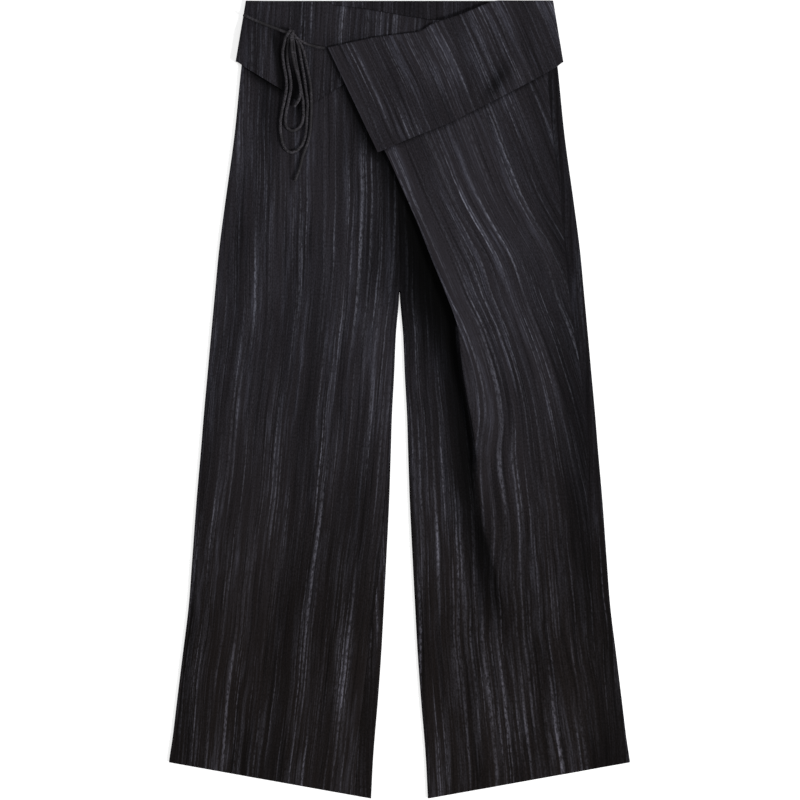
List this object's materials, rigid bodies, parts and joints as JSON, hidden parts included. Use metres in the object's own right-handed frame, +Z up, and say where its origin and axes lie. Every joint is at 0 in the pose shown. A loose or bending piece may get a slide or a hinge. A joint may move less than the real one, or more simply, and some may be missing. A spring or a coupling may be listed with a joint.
{
  "type": "wide-leg wrap trousers",
  "caption": "Wide-leg wrap trousers laid flat, with a fold-over waist, a crossed front flap and a cord tie in a bow.",
  "frame": {"origin": "on the surface that the trousers lie on, under the middle of their length and width", "axes": "+Y runs up the trousers from the hems to the waist, +X to the wearer's left, +Z up off the surface"},
  "size_m": [0.636, 1.0998, 0.0166],
  "materials": {
    "cloth": "dark charcoal cloth with fine irregular lengthwise streaks in light grey, softly brushed",
    "cord": "thin round tube sewn from the same cloth"
  },
  "bodies": {
    "root": {"back_right": "cloth", "back_left": "cloth", "front_right": "cloth", "front_left": "cloth", "flap_back": "cloth", "flap_front_right": "cloth", "flap_wrap": "cloth", "tie_side": "cord", "tie_wrap": "cord", "tie_loop_lower": "cord", "tie_loop_upper": "cord", "tie_end_long": "cord", "tie_end_short": "cord", "tie_knot": "cord"}
  },
  "joints": []
}
